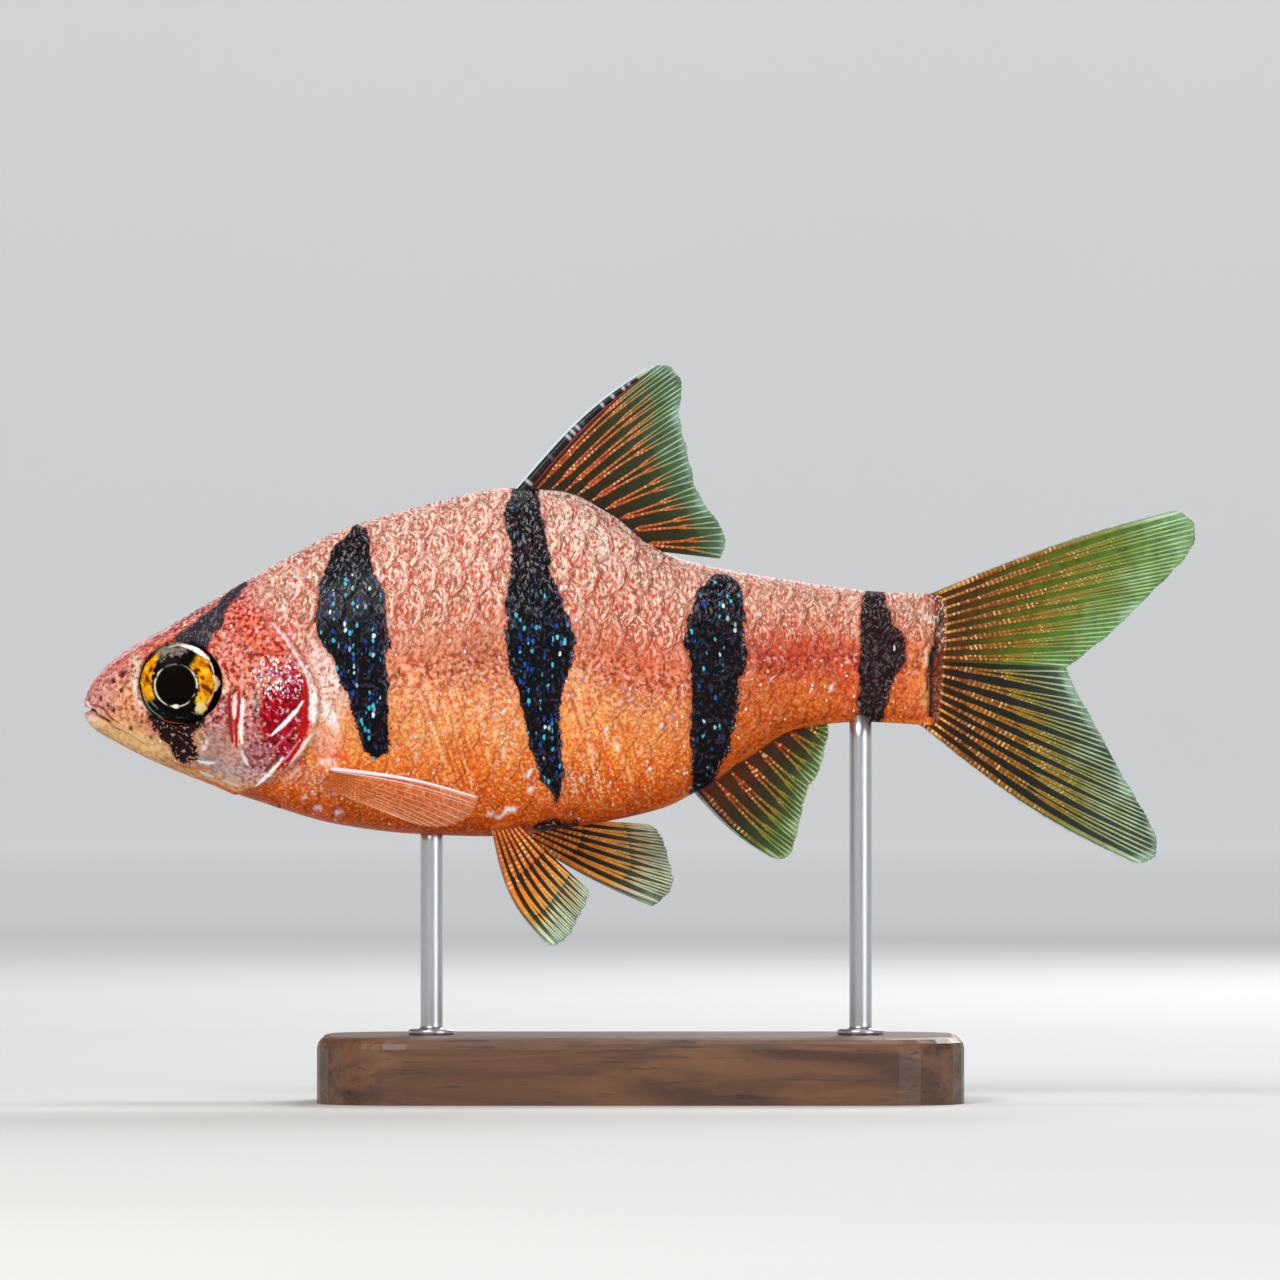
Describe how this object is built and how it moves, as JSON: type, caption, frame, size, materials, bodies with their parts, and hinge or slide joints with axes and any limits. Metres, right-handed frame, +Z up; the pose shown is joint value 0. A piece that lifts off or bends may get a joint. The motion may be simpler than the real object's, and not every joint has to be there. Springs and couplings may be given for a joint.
{
  "type": "five-banded barb",
  "caption": "Life-size model of a small deep-bodied banded barb with its fins spread, held level above a plain wooden display base on short steel rods.",
  "frame": {"origin": "on the surface the stand rests on, under the middle of the fish and the base", "axes": "+X from snout to tail, +Y from the fish's left side to its right side, +Z up"},
  "size_m": [0.05, 0.015, 0.0332],
  "materials": {
    "flesh": "wet scaled skin with dark bands",
    "fin_web": "thin translucent web on orange rays",
    "eye": "clear wet gloss over a gold and black iris",
    "stand_board": "dark oiled wood",
    "stand_steel": "brushed"
  },
  "bodies": {
    "root": {"head": "flesh", "torso": "flesh", "tail": "flesh", "eye_left": "eye", "eye_right": "eye", "dorsal_fin": "fin_web", "anal_fin": "fin_web", "caudal_fin_upper": "fin_web", "caudal_fin_lower": "fin_web", "pectoral_fin_left": "fin_web", "pectoral_fin_right": "fin_web", "pelvic_fin_left": "fin_web", "pelvic_fin_right": "fin_web", "stand_base": "stand_board", "stand_rod_front": "stand_steel", "stand_rod_rear": "stand_steel"}
  },
  "joints": []
}
